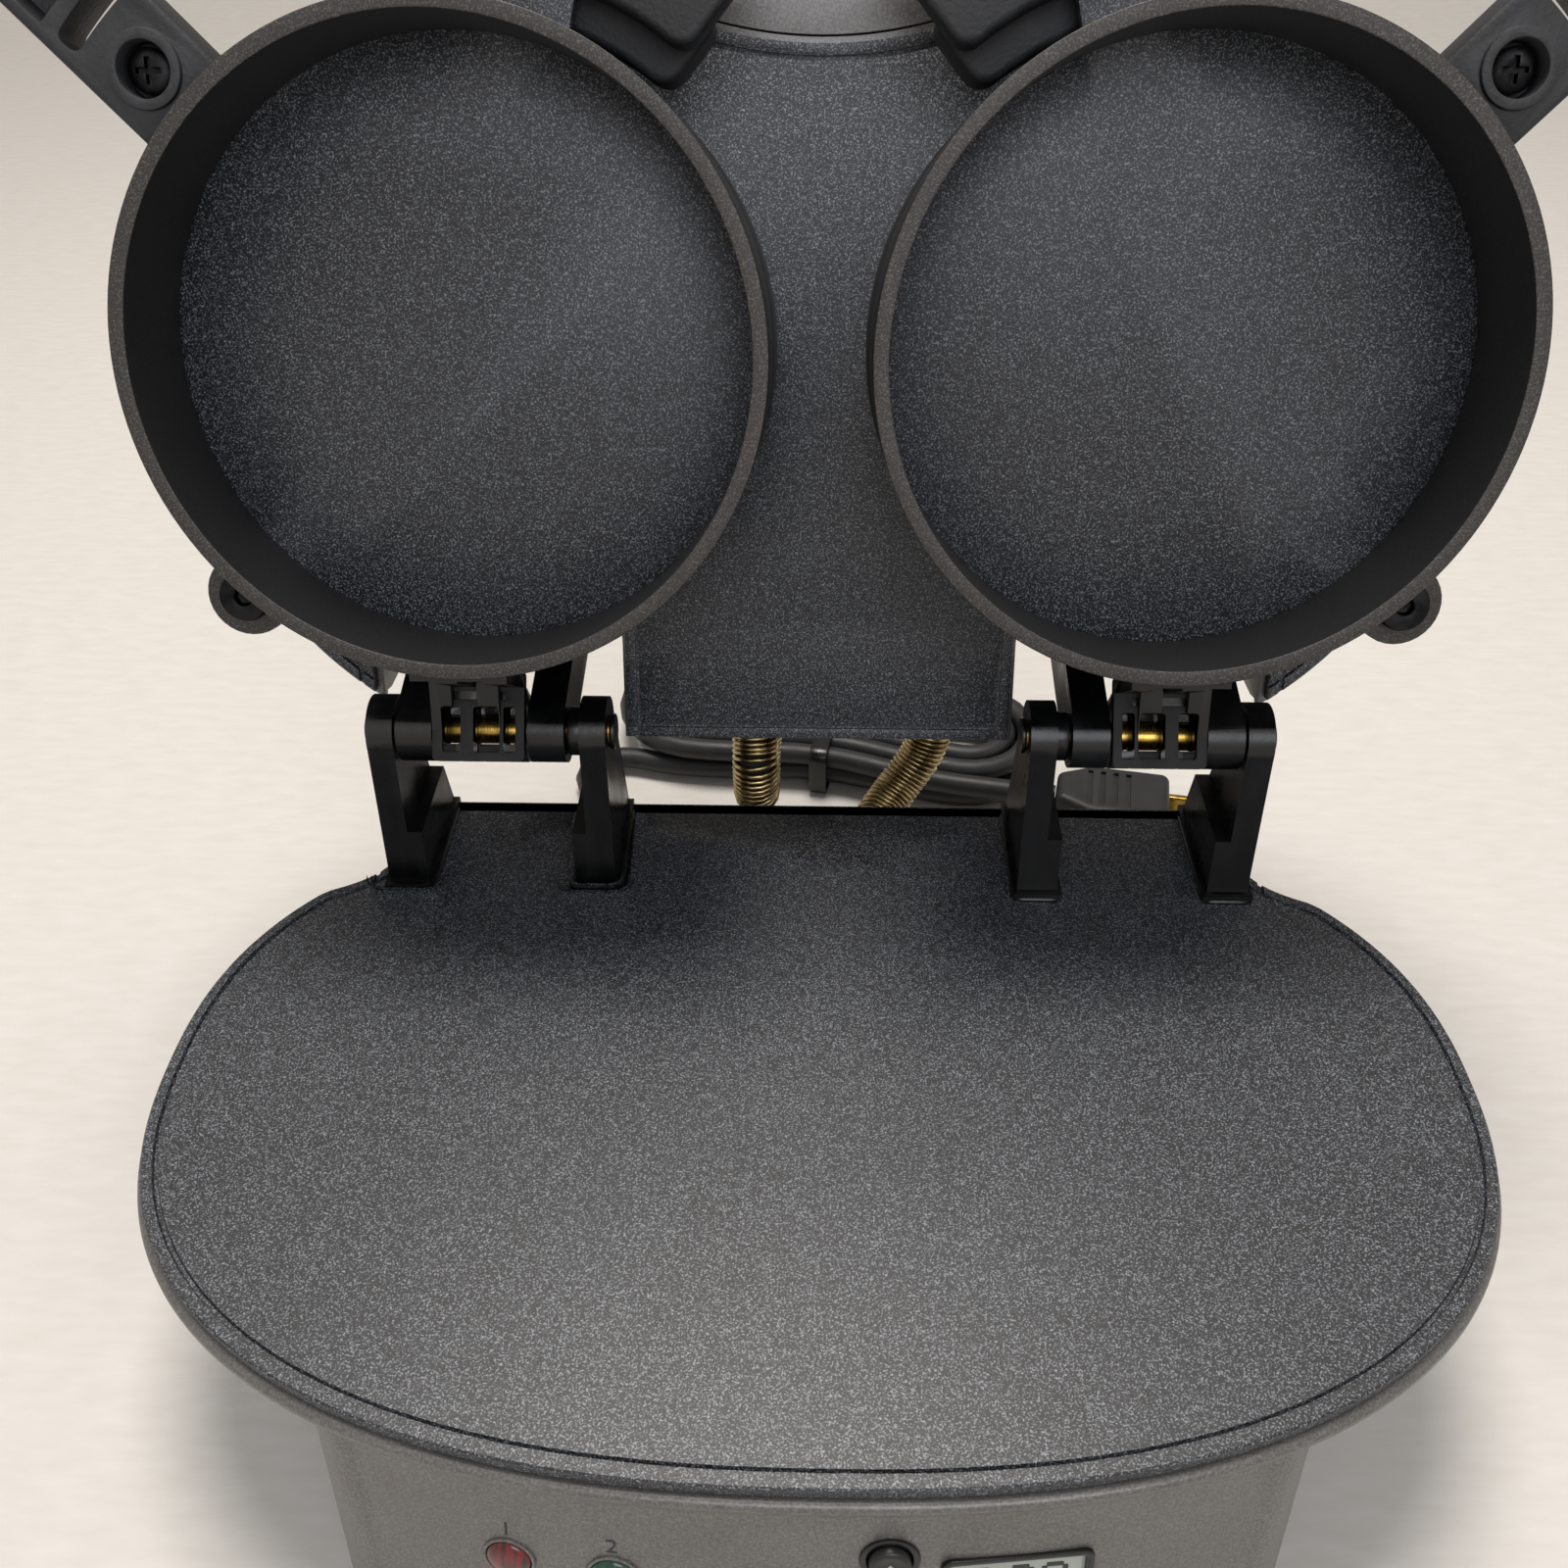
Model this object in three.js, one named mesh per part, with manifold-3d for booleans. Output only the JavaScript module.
// Two-up breakfast sandwich maker, shown open: a base with a wide lower cooking plate, a hinged
// cover with the upper plate, and on each side a pair of stacked rings with a swivelling egg plate.
// Lengths are millimetres. X runs to the object's right, -Y to its front, +Z up.
// Every piece is drawn in the closed position, with Y = 0 on the hinge axis and Z = 0 on the table.
// The cover and the rings are then turned back about the hinge axis to the open position.

import * as THREE from 'three';
import { mergeVertices } from 'three/addons/utils/BufferGeometryUtils.js';
import Module from 'manifold-3d';

const wasm = await Module();
wasm.setup();

// Driving sizes of the whole object
const plateTop = 58;
const axisRise = 33;
const openAngle = THREE.MathUtils.degToRad(110);
const seatGap = 0.3;
const cutOverrun = 2;

// Outline that the two cooking plates and the two housings share, seen from above
const lobeSideMargin = 3.2;
const lobeFrontMargin = 7.2;
const lobeRear = 17.4;
const lobeExponentShare = 2.37;
const neckStartInset = 16.8;
const neckEndY = -2;
const neckPullX = 1;
const neckPullY = 6;
const outlineSteps = 17;
const neckSteps = 5;
const roundSides = 12;
const screwSides = 10;
const arcSteps = 12;

// Cooking plates
const plateRear = 16.8;
const plateFlange = 2.7;
const plateBody = 6;
const plateBodyInset = 4;
const notchGap = 0.6;
const grooveInset = 2;
const grooveWidth = 1;
const grooveDepth = 0.8;

// Rings, egg plates and what they carry
const ringsApart = 16.8;
const ringHingeGap = 19.4;
const ringInner = 51;
const ringWall = 2.6;
const bottomRingHeight = 22;
const eggPlateThickness = 2.4;
const topRingHeight = 20;
const ringSides = 44;
const eggPlateInset = 0.4;

// Egg plate pivot, at the outer rear of each ring
const pivotOffset = 6.4;
const pivotAngle = THREE.MathUtils.degToRad(45);
const earRadius = 7.6;
const pivotPinRadius = 2.2;
const pivotHeadRadius = 4.6;
const pivotHeadHeight = 2.6;
const pivotLugHeight = 5;

// Handles of the egg plates and the top rings, at the front of each ring
const frontHandleFrom = THREE.MathUtils.degToRad(-16);
const frontHandleTo = THREE.MathUtils.degToRad(40);
const eggHandleOffset = 7.4;
const eggHandleDepth = 19;
const eggHandleDrop = 3;
const eggHandleHeight = 8;
const eggTongueWidth = 18;
const eggTongueOverlap = 7;
const topHandleOffset = 1.4;
const topHandleDepth = 15;
const topHandleHeight = 12;
const topLugWidth = 12;
const topLugOverlap = 7;
const topLugHeight = 4;

// Handle of the bottom ring, at its outer front
const sideHandleAngle = THREE.MathUtils.degToRad(45);
const sideHandleLength = 40.4;
const sideHandleWidth = 17;
const sideHandleLift = 2.4;
const sideHandleHeight = 9;
const sideHandleWall = 2;
const sideHandleFloor = 2.2;
const sideSlotWidth = 4;
const sideSlotOffset = 16.4;
const sideLugWidth = 11;
const sideLugHeight = 5;
const handleScrewOffset = 6.9;
const handleScrewHeadRadius = 3.4;
const handleScrewHead = 2.2;
const handleScrewRadius = 1.6;
const counterboreRadius = 4.2;
const counterboreDepth = 4;

// Hinge: one pin on each side runs through two posts, two cover knuckles and four ring hooks
const pinRadius = 2.75;
const pinClearance = 0.3;
const pinHeadRadius = 3.6;
const pinHeadLength = 1;
const postHeadRadius = 7;
const knuckleRadius = 6.3;
const innerPostInset = 18;
const postWidth = 5.2;
const footWidth = 8.2;
const footStepRise = 14;
const postFrontFoot = -12;
const postRearFoot = 16.2;
const flangeMargin = 0.9;
const flangeRise = 1.8;
const knuckleWidth = 7.2;
const knuckleSetback = 3;
const hookRadius = 6.5;
const hookGap = 0.4;
const hookMargin = 1.2;
const hookRoot = 2;
const hookTilt = THREE.MathUtils.degToRad(20);
const hookWidth = 4.2;
const armHeight = 21;
const armMountThickness = 3;
const bracketPlateBehind = 4.2;
const bracketPlateBeside = 6.6;

// Base housing
const footHeight = 4;
const bottomCoverThickness = 3;
const lipReach = 1.4;
const lipHeight = 3;
const skirtHeight = 1.5;
const skirtReach = 0.4;
const skirtTaper = 5;
const housingWall = 2.6;
const trayInset = 6.4;
const housingRear = 20;
const pedestalInset = 41.3;
const pedestalTaper = 2.5;
const pedestalRear = 16;
const pedestalCorner = 9;
const panelSteps = 8;
const cornerSteps = 4;
const bracketBar = 5.5;
const ledgeFrontY = 6;
const panelInset = -0.3;
const panelLean = THREE.MathUtils.degToRad(-13.5);

// Control panel
const panelRowDrop = 16.5;
const redLensInset = 16.6;
const lensPitch = 16.2;
const lensRadius = 3.6;
const lensFlangeRadius = 5;
const lensRise = 1.1;
const lensDepth = 5;
const buttonDisplayPitch = 19.3;
const buttonRadius = 3.2;
const buttonRise = 1.6;
const buttonFlangeRadius = 4.4;
const buttonPitch = 13;
const buttonTravel = 1;
const displayInset = 30.5;
const displayWidth = 21;
const displayHeight = 11;
const windowThickness = 1.6;
const displayDepth = 5;
const displayMargin = 1.5;
const boardWidth = 124;
const boardHeight = 30;
const boardThickness = 1.6;
const boardSetback = 13;
const boardDrop = 22;
const boardPegInset = 4;
const boardPegRadius = 3;
const plugFlange = 1.2;
const switchHalf = 3;

// Heaters and thermostats
const elementRadius = 3.2;
const elementSides = 6;
const elementSideInset = 52.8;
const elementSteps = 24;
const elementFrontInset = 27.8;
const elementRear = -34;
const elementCorner = 26;
const elementLeadX = 20;
const elementLeadRise = 12;
const thermostatRadius = 8;
const thermostatHeight = 7;
const thermostatY = -66;

// Bottom cover, feet and screws
const bottomCoverInset = 4;
const rubberFootRadius = 7;
const rubberFootSideInset = 15.5;
const rubberFootFrontInset = 14.8;
const rubberFootRearY = 2;
const coverScrewRadius = 1.8;
const coverScrewHeadRadius = 3.4;
const coverScrewHead = 1.8;
const coverScrewLength = 9;
const screwBossRadius = 4.5;
const screwBossHeight = 12;
const bossSink = 1;
const coverScrewFrontInset = 33.8;
const coverScrewRearY = -16;

// Cover
const coverRear = 5;
const domeRearX = 24;
const biteSides = 64;
const coverNotchFront = -19;
const coverNotchMargin = 3.6;
const coverHeight = 32;
const shoulderReach = 3;
const crownInset = 11;
const topInset = 33;
const crownRise = 4;
const frontCutRadius = 83;
const frontCutDepth = 8.8;
const coverHandleHalfWidth = 33;
const handleTipShare = 0.7;
const coverHandleReach = 24;
const coverHandleHeight = 13;
const coverHandleRim = 3;
const handleScoopDepth = 6;

// Conduit and lead between base and cover
const conduitX = 13;
const conduitBaseDrop = 22;
const coverPortX = -14;
const coverPortRise = 24;
const glandRadius = 7;
const glandLength = 3.5;
const glandNeck = 5.4;
const portRadius = 4.3;
const springRadius = 4.8;
const springWire = 0.9;
const springTurns = 32;
const springStartShare = 0.05;
const stepsPerTurn = 8;
const springSides = 5;
const leadRadius = 3.6;
const leadStartShare = 1;
const conduitRoute = [
  [14.5, 37, 37.5], [19.5, 43.5, 41.5], [25, 47.5, 48.5], [27.5, 50, 57.5], [25, 52, 66],
  [18.5, 53, 72], [9.5, 53.5, 74.5], [0.5, 53, 72.5], [-7, 51.5, 68], [-12, 48.5, 62],
  [-13.6, 45.4, 55.5], [-14, 41.6, 49.8], [-14, 35.4, 47.9], [-14, 29.8, 51.2],
];
const leadSides = 8;
const leadSteps = 34;

// Power cord, its hank, tie and plug
const cordRadius = 3;
const cordSides = 8;
const cordExitX = -30;
const cordExitZ = 26;
const reliefRadius = 5.4;
const reliefLength = 14;
const reliefNeck = 4.2;
const cordSteps = 26;
const cordRoute = [
  [-32, 52, 19], [-44, 66, 8], [-60, 80, 4.6], [-66, 92, 4.5], [-58, 100, 4.5],
];
const hankLoops = 4;
const hankSteps = 24;
const hankSides = 6;
const hankX = 4;
const hankY = 112;
const hankTurn = THREE.MathUtils.degToRad(-10);
const hankRun = 78;
const hankBend = 9;
const hankPitch = 6.6;
const hankWaistShare = 0.5;
const hankTail = 27;
const tieWidth = 5;
const tieThickness = 1.2;
const plugLength = 30;
const plugWidth = 20;
const plugHeight = 16;
const bladeLength = 16;
const bladeWidth = 6.3;
const bladeThickness = 1.5;
const bladeSpacing = 12.7;

// Heights and places that follow from the driving sizes
const ringOuter = ringInner + ringWall;
const ringX = ringOuter + ringsApart / 2;
const ringReach = ringOuter + ringHingeGap;
const eggPlateRadius = ringOuter - eggPlateInset;
const pivotReach = ringOuter + pivotOffset;
const eggHandleInner = ringOuter + eggHandleOffset;
const eggHandleOuter = eggHandleInner + eggHandleDepth;
const eggTongueReach = eggHandleInner + eggTongueOverlap;
const topHandleInner = ringOuter + topHandleOffset;
const topHandleOuter = topHandleInner + topHandleDepth;
const topLugReach = topHandleInner + topLugOverlap;
const sideHandleTip = ringOuter + sideHandleLength;
const sideSlotReach = ringOuter + sideSlotOffset;
const handleScrewReach = ringOuter + handleScrewOffset;
const lobeHalfWidth = ringX + ringOuter + lobeSideMargin;
const lobeFront = -ringReach - ringOuter - lobeFrontMargin;
const lobeHalfDepth = (lobeRear - lobeFront) / 2;
const lobeCentreY = lobeRear - lobeHalfDepth;
const neckStartX = lobeHalfWidth - neckStartInset;
const frontCutY = lobeFront + frontCutDepth;
const axisZ = plateTop + axisRise;
const ringBase = plateTop + seatGap;
const ringTop = ringBase + bottomRingHeight;
const eggBase = ringTop + seatGap;
const eggTop = eggBase + eggPlateThickness;
const topRingBase = eggTop + seatGap;
const topRingTop = topRingBase + topRingHeight;
const upperFace = topRingTop + seatGap;
const lipTop = plateTop - plateFlange - seatGap;
const trayBottom = lipTop - lipHeight - skirtHeight - skirtTaper;
const coverLip = upperFace + plateFlange + seatGap;
const coverCrown = upperFace + coverHeight;
const bracketPlateRear = ringOuter - ringReach + bracketPlateBehind;
const bracketPlateFront = ringOuter - ringReach - bracketPlateBeside;
const pedestalHalfWidth = lobeHalfWidth - pedestalInset;
const rubberFootX = pedestalHalfWidth - rubberFootSideInset;
const rubberFootFrontY = lobeFront + rubberFootFrontInset;
const coverScrewFrontY = lobeFront + coverScrewFrontInset;
const elementHalfWidth = lobeHalfWidth - elementSideInset;
const elementFront = lobeFront + elementFrontInset;
const redLensX = redLensInset - boardWidth / 2;
const greenLensX = redLensX + lensPitch;
const displayX = boardWidth / 2 - displayInset;
const buttonX = displayX - buttonDisplayPitch;
const innerPostX = ringX - innerPostInset;
const knuckleStart = innerPostX + postWidth / 2 + knuckleSetback;
const hooksStart = knuckleStart + knuckleWidth + hookGap;
const hookPitch = hookWidth + hookGap;
const outerKnuckleStart = hooksStart + 4 * hookPitch;
const outerPostX = outerKnuckleStart + knuckleWidth + hookGap + postWidth / 2;
const hooksEnd = outerKnuckleStart - hookGap;
const outerPostFace = outerPostX + postWidth / 2;
const innerPostFace = innerPostX - postWidth / 2;
const neckEndX = outerPostFace + flangeMargin + notchGap;
const tongueHalfWidth = innerPostFace - notchGap - lipReach;
const coverNotchOuter = outerPostFace + coverNotchMargin;
const innerNotch = innerPostFace - flangeMargin - notchGap;
const innerNotchEnd = innerPostFace + footWidth + flangeMargin + notchGap;
const outerNotch = outerPostFace - footWidth - flangeMargin - notchGap;
const notchFront = postFrontFoot - flangeMargin - notchGap;

// Turns a closed three.js geometry into a solid that can be joined and cut, faces out
function solid(geometry) {
  const bare = new THREE.BufferGeometry();
  bare.setAttribute('position', geometry.getAttribute('position'));
  if (geometry.index) bare.setIndex(geometry.index);
  const merged = mergeVertices(bare);
  const triVerts = Uint32Array.from(merged.index.array);
  const vertProperties = Float32Array.from(merged.getAttribute('position').array);
  if (signedVolume(vertProperties, triVerts) < 0) triVerts.reverse();
  return new wasm.Manifold(new wasm.Mesh({ numProp: 3, vertProperties, triVerts }));
}

function signedVolume(places, corners) {
  const [a, b, c] = [new THREE.Vector3(), new THREE.Vector3(), new THREE.Vector3()];
  let sum = 0;
  for (let i = 0; i < corners.length; i += 3) {
    a.fromArray(places, 3 * corners[i]);
    b.fromArray(places, 3 * corners[i + 1]);
    c.fromArray(places, 3 * corners[i + 2]);
    sum += a.dot(b.cross(c));
  }
  return sum;
}

// A geometry of the solid, or of its mirror image on the left side
function shapeOf(body, side = 1) {
  const mesh = body.getMesh();
  const places = Float32Array.from(mesh.vertProperties);
  const corners = Uint32Array.from(mesh.triVerts);
  if (side < 0) {
    for (let i = 0; i < places.length; i += 3) places[i] = -places[i];
    corners.reverse();
  }
  const geometry = new THREE.BufferGeometry();
  geometry.setAttribute('position', new THREE.BufferAttribute(places, 3));
  geometry.setIndex(new THREE.BufferAttribute(corners, 1));
  geometry.computeVertexNormals();
  return geometry;
}

const joined = (bodies) => bodies.reduce((whole, body) => whole.add(body));

function block(x0, x1, y0, y1, z0, z1) {
  const box = new THREE.BoxGeometry(x1 - x0, y1 - y0, z1 - z0);
  return solid(box.translate((x0 + x1) / 2, (y0 + y1) / 2, (z0 + z1) / 2));
}

function column(radius, x, y, z0, z1, sides = roundSides) {
  const round = new THREE.CylinderGeometry(radius, radius, z1 - z0, sides);
  return solid(round.rotateX(Math.PI / 2).translate(x, y, (z0 + z1) / 2));
}

function axle(radius, x0, x1, y, z, sides = roundSides) {
  const round = new THREE.CylinderGeometry(radius, radius, x1 - x0, sides);
  return solid(round.rotateZ(Math.PI / 2).translate((x0 + x1) / 2, y, z));
}

function slab(loop, z0, z1) {
  const flat = new THREE.Shape(loop);
  const prism = new THREE.ExtrudeGeometry(flat, { depth: z1 - z0, bevelEnabled: false });
  return solid(prism.translate(0, 0, z0));
}

// A prism along X whose section is drawn as (y, z) points
function sideSlab(loop, x0, x1) {
  const flat = new THREE.Shape(loop.map(([y, z]) => new THREE.Vector2(y, z)));
  const prism = new THREE.ExtrudeGeometry(flat, { depth: x1 - x0, bevelEnabled: false });
  const turn = new THREE.Matrix4().makeBasis(
    new THREE.Vector3(0, 1, 0), new THREE.Vector3(0, 0, 1), new THREE.Vector3(1, 0, 0));
  return solid(prism.applyMatrix4(turn).translate(x0, 0, 0));
}

function lathed(profile, sides) {
  return solid(new THREE.LatheGeometry(profile.map(([r, h]) => new THREE.Vector2(r, h)), sides));
}

// A round tube along a curve
function tube(curve, radius, sides, steps) {
  const loop = [];
  for (let i = 0; i < sides; i++) {
    const turn = (2 * Math.PI * i) / sides;
    loop.push(new THREE.Vector2(radius * Math.cos(turn), radius * Math.sin(turn)));
  }
  return solid(new THREE.ExtrudeGeometry(new THREE.Shape(loop), { steps, extrudePath: curve }));
}

// A body through a stack of loops that have the same number of points
function loft(sections) {
  const places = [];
  const corners = [];
  const count = sections[0].loop.length;
  sections.forEach(({ loop, z }) => loop.forEach((p) => places.push(p.x, p.y, z)));
  for (let s = 1; s < sections.length; s++) {
    for (let i = 0; i < count; i++) {
      const [a, b] = [(s - 1) * count + i, (s - 1) * count + ((i + 1) % count)];
      corners.push(a, b, b + count, a, b + count, a + count);
    }
  }
  const last = (sections.length - 1) * count;
  THREE.ShapeUtils.triangulateShape(sections[0].loop, []).forEach(([a, b, c]) => corners.push(c, b, a));
  THREE.ShapeUtils.triangulateShape(sections[sections.length - 1].loop, []).forEach(
    ([a, b, c]) => corners.push(last + a, last + b, last + c));
  const geometry = new THREE.BufferGeometry();
  geometry.setAttribute('position', new THREE.Float32BufferAttribute(places, 3));
  geometry.setIndex(corners);
  return solid(geometry);
}

// Moves each edge of a counterclockwise loop outward by a distance, or inward by a negative one
function grown(loop, distance) {
  const count = loop.length;
  return loop.map((point, i) => {
    const before = point.clone().sub(loop[(i + count - 1) % count]).normalize();
    const after = loop[(i + 1) % count].clone().sub(point).normalize();
    const normal = new THREE.Vector2(before.y + after.y, -before.x - after.x).normalize();
    const reach = distance / normal.dot(new THREE.Vector2(before.y, -before.x));
    return point.clone().addScaledVector(normal, reach);
  });
}

// The lobe's half depth at a distance from the middle
function lobeDepth(x) {
  const share = 1 - Math.abs(x / lobeHalfWidth) ** lobeExponentShare;
  return lobeHalfDepth * share ** (1 / lobeExponentShare);
}

const frontY = (x) => lobeCentreY - lobeDepth(x);

// The right half of the lobe from its front middle round to a place on its rear
function lobeHalf(endX) {
  const half = [];
  const end = Math.acos(endX / lobeHalfWidth);
  for (let i = 0; i <= outlineSteps; i++) {
    const turn = -Math.PI / 2 + ((Math.PI / 2 + end) * i) / outlineSteps;
    const x = lobeHalfWidth * Math.cos(turn);
    const side = i === outlineSteps ? endX : x;
    half.push(new THREE.Vector2(side, lobeCentreY + Math.sign(turn || 1) * lobeDepth(side)));
  }
  return half;
}

// A whole loop from a right half that starts on the middle line
function bothHalves(half) {
  const left = half.slice(1).reverse().map((p) => new THREE.Vector2(-p.x, p.y));
  return [...half, ...left];
}

function baseHalf() {
  const half = lobeHalf(neckStartX);
  const start = half[half.length - 1];
  const end = new THREE.Vector2(neckEndX, neckEndY);
  const pull = new THREE.Vector2(neckEndX + neckPullX, neckEndY - neckPullY);
  const neck = new THREE.QuadraticBezierCurve(start, pull, end);
  return [...half, ...neck.getPoints(neckSteps).slice(1)];
}

function housingLoop(rear = housingRear - lipReach) {
  return bothHalves([...baseHalf(), new THREE.Vector2(neckEndX, rear)]);
}

const lobeSlab = (grow, z0, z1) => slab(grown(bothHalves(lobeHalf(domeRearX)), grow), z0, z1);

// Takes from a slab the rectangle that lies behind a front line, on both sides
function notched(body, x0, x1, front, z0, z1) {
  const right = block(x0, x1, front, housingRear * 2, z0 - cutOverrun, z1 + cutOverrun);
  const left = block(-x1, -x0, front, housingRear * 2, z0 - cutOverrun, z1 + cutOverrun);
  return body.subtract(right).subtract(left);
}

// The lower plate's outline as a slab, moved outward by a distance, or inward by a negative one
function plateSlab(grow, z0, z1) {
  const whole = slab(grown(housingLoop(plateRear), grow), z0, z1);
  const inner = notched(whole, innerNotch + grow, innerNotchEnd - grow, notchFront + grow, z0, z1);
  return notched(inner, outerNotch + grow, neckEndX - grow, notchFront + grow, z0, z1);
}

// The cover's outline in the same way; it has one wide notch for the arms on each side
function coverSlab(grow, z0, z1) {
  const rear = coverRear + grow;
  const whole = lobeSlab(grow, z0, z1).subtract(block(-lobeHalfWidth, lobeHalfWidth,
    rear, rear + lobeHalfDepth, z0 - cutOverrun, z1 + cutOverrun));
  return notched(whole, tongueHalfWidth + grow, coverNotchOuter - grow, coverNotchFront + grow, z0, z1);
}

// The lobe by itself, shrunk about its centre, for the cover's domed top
function domeLoop(inset) {
  return bothHalves(lobeHalf(domeRearX)).map((p) => new THREE.Vector2(
    p.x * (1 - inset / lobeHalfWidth),
    lobeCentreY + (p.y - lobeCentreY) * (1 - inset / lobeHalfDepth)));
}

// A circle that bites the middle of the cover's front, where its handle sits
const frontBite = (grow, z0, z1) => column(
  frontCutRadius + grow, 0, frontCutY - frontCutRadius, z0, z1, biteSides);

// The convex outline of some (y, z) points, counterclockwise
function hull(points) {
  const sorted = [...points].sort((a, b) => a[0] - b[0] || a[1] - b[1]);
  const half = (list) => {
    const kept = [];
    for (const p of list) {
      while (kept.length > 1) {
        const [a, b] = kept.slice(-2);
        if ((b[0] - a[0]) * (p[1] - a[1]) - (b[1] - a[1]) * (p[0] - a[0]) > 0) break;
        kept.pop();
      }
      kept.push(p);
    }
    return kept.slice(0, -1);
  };
  return [...half(sorted), ...half(sorted.reverse())];
}

// A web as wide as x0 to x1, from a round hub on the hinge axis out to some (y, z) points
function hubWeb(radius, points, x0, x1) {
  const hub = [];
  for (let i = 0; i < roundSides; i++) {
    const turn = (2 * Math.PI * i) / roundSides;
    hub.push([radius * Math.cos(turn), axisZ + radius * Math.sin(turn)]);
  }
  return sideSlab(hull([...hub, ...points]), x0, x1);
}

// Pieces round the right ring are placed by an angle from +X about the ring's centre
function radialBar(angle, width, from, to, z0, z1) {
  const bar = new THREE.BoxGeometry(to - from, width, z1 - z0);
  bar.translate((from + to) / 2, 0, (z0 + z1) / 2);
  return solid(bar.rotateZ(angle).translate(ringX, -ringReach, 0));
}

function radialColumn(angle, radius, reach, z0, z1) {
  return column(radius, ringX + reach * Math.cos(angle), -ringReach + reach * Math.sin(angle), z0, z1);
}

function arcBlock(inner, outer, from, to, z0, z1) {
  const loop = [];
  for (let i = 0; i <= arcSteps; i++) {
    const turn = from + ((to - from) * i) / arcSteps;
    loop.push(new THREE.Vector2(outer * Math.cos(turn), outer * Math.sin(turn)));
  }
  for (let i = arcSteps; i >= 0; i--) {
    const turn = from + ((to - from) * i) / arcSteps;
    loop.push(new THREE.Vector2(inner * Math.cos(turn), inner * Math.sin(turn)));
  }
  const place = new THREE.Vector2(ringX, -ringReach);
  return slab(loop.map((p) => p.add(place)), z0, z1);
}

const ringColumn = (radius, z0, z1) => column(radius, ringX, -ringReach, z0, z1, ringSides);

// Control panel: its front face follows the lobe and slopes outward below the lip, to be read from above
const panelTop = lipTop - lipHeight;
const panelY = (x, z) => frontY(x) + panelInset + (panelTop - z) * Math.tan(panelLean);

function pedestalLoop(z) {
  const fall = (panelTop - z) / (panelTop - footHeight);
  const straight = pedestalHalfWidth - pedestalTaper * fall - pedestalCorner;
  const half = [];
  for (let i = 0; i <= panelSteps; i++) {
    const x = (straight * i) / panelSteps;
    half.push(new THREE.Vector2(x, panelY(x, z)));
  }
  const corner = (y, from) => {
    for (let i = 1; i <= cornerSteps; i++) {
      const turn = from + (Math.PI * i) / (2 * cornerSteps);
      half.push(new THREE.Vector2(
        straight + pedestalCorner * Math.cos(turn), y + pedestalCorner * Math.sin(turn)));
    }
  };
  corner(panelY(straight, z) + pedestalCorner, -Math.PI / 2);
  half.push(new THREE.Vector2(straight + pedestalCorner, pedestalRear - pedestalCorner));
  corner(pedestalRear - pedestalCorner, 0);
  return bothHalves(half);
}

// A frame on the panel: X along it, Y up it, Z out of it
function panelFrame(x, drop) {
  const z = panelTop - drop;
  const slope = (panelY(x + lensRadius, z) - panelY(x - lensRadius, z)) / (2 * lensRadius);
  const along = new THREE.Vector3(1, slope, 0).normalize();
  const up = new THREE.Vector3(0, -Math.sin(panelLean), Math.cos(panelLean));
  const out = along.clone().cross(up).normalize();
  const frame = new THREE.Matrix4().makeBasis(along, out.clone().cross(along), out);
  return frame.setPosition(x, panelY(x, z), z);
}

const onPanel = (body, x, drop) => solid(shapeOf(body).applyMatrix4(panelFrame(x, drop)));

// A round piece that sticks out of the panel and has a flange behind its wall
function panelPlug(radius, flangeRadius, rise, depth) {
  const behind = -housingWall - seatGap;
  return joined([
    column(radius, 0, 0, behind - depth, rise),
    column(flangeRadius, 0, 0, behind - plugFlange, behind),
  ]);
}

const buttonRows = [panelRowDrop - buttonPitch / 2, panelRowDrop + buttonPitch / 2];

function panelHoles() {
  const round = (radius, x, drop) => onPanel(
    column(radius + seatGap, 0, 0, -housingWall * 2, housingWall), x, drop);
  const [halfWidth, halfHeight] = [displayWidth / 2 + seatGap, displayHeight / 2 + seatGap];
  const window = block(-halfWidth, halfWidth, -halfHeight, halfHeight, -housingWall * 2, housingWall);
  return joined([
    round(lensRadius, redLensX, panelRowDrop),
    round(lensRadius, greenLensX, panelRowDrop),
    ...buttonRows.map((drop) => round(buttonRadius, buttonX, drop)),
    onPanel(window, displayX, panelRowDrop),
  ]);
}

function displayWindow() {
  const [w, h] = [displayWidth / 2, displayHeight / 2];
  const behind = -housingWall - 2 * seatGap;
  return onPanel(joined([
    block(-w, w, -h, h, behind - windowThickness, seatGap),
    block(-w - displayMargin, w + displayMargin, -h - displayMargin, h + displayMargin,
      behind - windowThickness, behind),
  ]), displayX, panelRowDrop);
}

const boardPegs = [-1, 1].flatMap((x) => [-1, 1].map((y) => [
  x * (boardWidth / 2 - boardPegInset), y * (boardHeight / 2 - boardPegInset)]));

function controlBoard() {
  const board = block(-boardWidth / 2, boardWidth / 2, -boardHeight / 2, boardHeight / 2,
    -boardSetback - boardThickness, -boardSetback);
  const switchTop = -housingWall - seatGap - plugFlange - buttonTravel - seatGap;
  const switches = buttonRows.map((drop) => onPanel(
    block(-switchHalf, switchHalf, -switchHalf, switchHalf, -boardSetback, switchTop), buttonX, drop));
  return joined([onPanel(board, 0, boardDrop), ...switches]);
}

function displayModule() {
  const [w, h] = [displayWidth / 2 - seatGap, displayHeight / 2 - seatGap];
  const back = -boardSetback + seatGap;
  const lift = boardDrop - panelRowDrop;
  return onPanel(block(displayX - w, displayX + w, lift - h, lift + h, back, back + displayDepth),
    0, boardDrop);
}

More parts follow.
